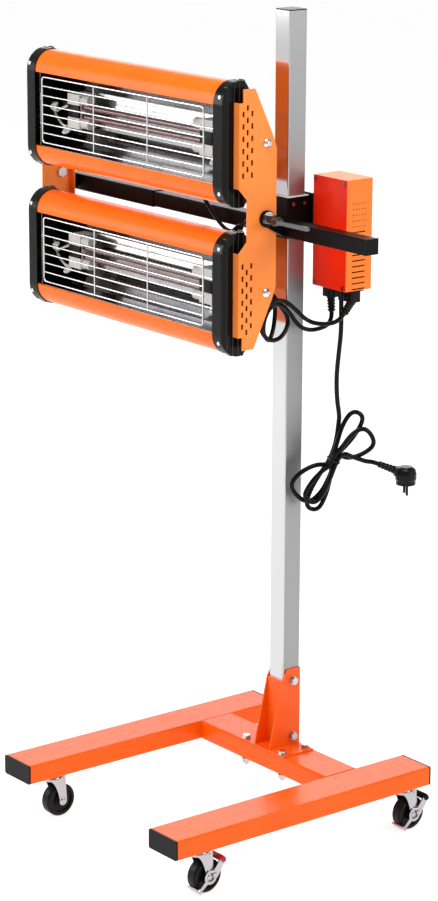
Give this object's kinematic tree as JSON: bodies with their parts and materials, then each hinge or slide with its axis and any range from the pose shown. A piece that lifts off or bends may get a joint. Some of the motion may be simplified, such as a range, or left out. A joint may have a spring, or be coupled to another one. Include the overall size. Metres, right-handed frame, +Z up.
{
  "type": "infrared paint curing lamp",
  "caption": "Wheeled stand with a sliding, tilting head of quartz infrared lamps behind wire grilles, a control box and a plug-in mains lead.",
  "frame": {"origin": "middle of the overall box's footprint, on the floor under the wheels", "axes": "+Z up along the post; -Y the way the lamps face; +X to the right seen from the front"},
  "size_m": [0.873, 0.634, 1.4906],
  "materials": {
    "beam_paint": "glossy orange-red powder coat",
    "orange_paint": "glossy orange powder coat",
    "red_paint": "glossy red powder coat",
    "black_paint": "semi-gloss black powder coat",
    "black_plastic": "fine matte moulding",
    "gloss_black": "glossy black moulding",
    "red_plastic": "glossy red moulding",
    "white_plastic": "pale moulding",
    "zinc": "bright zinc plating",
    "chrome": "polished chrome",
    "wheel_tread": "dark hard rubber",
    "reflector_sheet": "polished sheet",
    "quartz": "ruby quartz",
    "ceramic": "unglazed white",
    "cord_black": "smooth black sheath"
  },
  "bodies": {
    "base": {"left_beam": "beam_paint", "right_beam": "beam_paint", "beam_end_caps": "black_plastic", "crossbeam": "beam_paint", "post_bracket": "beam_paint", "post_tube": "chrome", "post_cap": "black_plastic", "m8_bolts": "zinc", "m8_nuts_washers": "zinc", "caster_stems": "zinc"},
    "carriage": {"slider_sleeve": "black_paint", "slider_liner": "white_plastic", "box_bracket": "black_paint", "arm_tube": "black_paint", "arm_plugs": "black_plastic", "yoke_brackets": "black_paint", "box_shell": "black_paint", "box_cover": "red_paint", "m4_screws": "zinc", "terminal_block": "white_plastic", "lamp_sockets": "black_plastic", "lamp_plugs": "black_plastic", "mains_gland": "black_plastic", "mains_cord_upper": "cord_black", "mains_hank": "cord_black", "mains_cord_lower": "cord_black", "cord_tie": "black_plastic", "mains_plug": "black_plastic", "lamp_lead_a": "cord_black", "lamp_lead_b": "cord_black"},
    "knob": {"height_lock_knob": "black_plastic"},
    "head": {"side_plate_right": "orange_paint", "side_plate_left": "orange_paint", "pivot_hardware": "chrome", "upper_housing": "orange_paint", "lower_housing": "orange_paint", "cassette_end_caps": "gloss_black", "cap_screws": "zinc", "cassette_bolts": "chrome", "cassette_spacers": "zinc", "reflectors": "reflector_sheet", "quartz_tubes": "quartz", "tube_holders": "ceramic", "grilles": "chrome", "lead_boots": "black_plastic", "link_lead": "cord_black"},
    "lever": {"tilt_lever": "black_paint"},
    "fork_fl": {"caster_fork_fl": "zinc"},
    "wheel_fl": {"caster_wheel_fl": "wheel_tread"},
    "fork_fr": {"caster_fork_fr": "zinc"},
    "wheel_fr": {"caster_wheel_fr": "wheel_tread"},
    "brake_fr": {"brake_lever_fr": "zinc", "brake_pedal_fr": "red_plastic"},
    "fork_rl": {"caster_fork_rl": "zinc"},
    "wheel_rl": {"caster_wheel_rl": "wheel_tread"},
    "fork_rr": {"caster_fork_rr": "zinc"},
    "wheel_rr": {"caster_wheel_rr": "wheel_tread"},
    "brake_rr": {"brake_lever_rr": "zinc", "brake_pedal_rr": "black_plastic"}
  },
  "joints": [
    {"name": "carriage_slide", "type": "slide", "parent": "base", "child": "carriage", "axis": [0, 0, 1], "range_m": [-0.38, 0.32]},
    {"name": "head_tilt", "type": "hinge", "parent": "carriage", "child": "head", "pos_m": [-0.09835, 0.05789, 1.135], "axis": [1, 0, 0], "range_deg": [-19, 7], "deforming": ["lamp_lead_a", "lamp_lead_b"]},
    {"name": "tilt_clamp_lever", "type": "hinge", "parent": "head", "child": "lever", "pos_m": [0.2475, 0.05079, 1.135], "axis": [0, 1, 0], "range_deg": [-90, 0]},
    {"name": "height_lock_turn", "type": "hinge", "parent": "carriage", "child": "knob", "pos_m": [0.2015, 0.15439, 1.094], "axis": [1, 0, 0], "continuous": true},
    {"name": "swivel_fl", "type": "hinge", "parent": "base", "child": "fork_fl", "pos_m": [-0.0555, -0.22411, 0.081], "axis": [0, 0, 1], "continuous": true},
    {"name": "wheel_spin_fl", "type": "hinge", "parent": "fork_fl", "child": "wheel_fl", "pos_m": [-0.0555, -0.20911, 0.031], "axis": [1, 0, 0], "continuous": true},
    {"name": "swivel_fr", "type": "hinge", "parent": "base", "child": "fork_fr", "pos_m": [0.3885, -0.22411, 0.081], "axis": [0, 0, 1], "continuous": true},
    {"name": "wheel_spin_fr", "type": "hinge", "parent": "fork_fr", "child": "wheel_fr", "pos_m": [0.3885, -0.20911, 0.031], "axis": [1, 0, 0], "continuous": true},
    {"name": "brake_fr", "type": "hinge", "parent": "fork_fr", "child": "brake_fr", "pos_m": [0.4065, -0.19961, 0.034], "axis": [1, 0, 0], "range_deg": [-7, 0]},
    {"name": "swivel_rl", "type": "hinge", "parent": "base", "child": "fork_rl", "pos_m": [-0.0555, 0.25049, 0.081], "axis": [0, 0, 1], "continuous": true},
    {"name": "wheel_spin_rl", "type": "hinge", "parent": "fork_rl", "child": "wheel_rl", "pos_m": [-0.0555, 0.26549, 0.031], "axis": [1, 0, 0], "continuous": true},
    {"name": "swivel_rr", "type": "hinge", "parent": "base", "child": "fork_rr", "pos_m": [0.3885, 0.25049, 0.081], "axis": [0, 0, 1], "continuous": true},
    {"name": "wheel_spin_rr", "type": "hinge", "parent": "fork_rr", "child": "wheel_rr", "pos_m": [0.3885, 0.26549, 0.031], "axis": [1, 0, 0], "continuous": true},
    {"name": "brake_rr", "type": "hinge", "parent": "fork_rr", "child": "brake_rr", "pos_m": [0.4065, 0.27499, 0.034], "axis": [1, 0, 0], "range_deg": [-7, 0]}
  ]
}
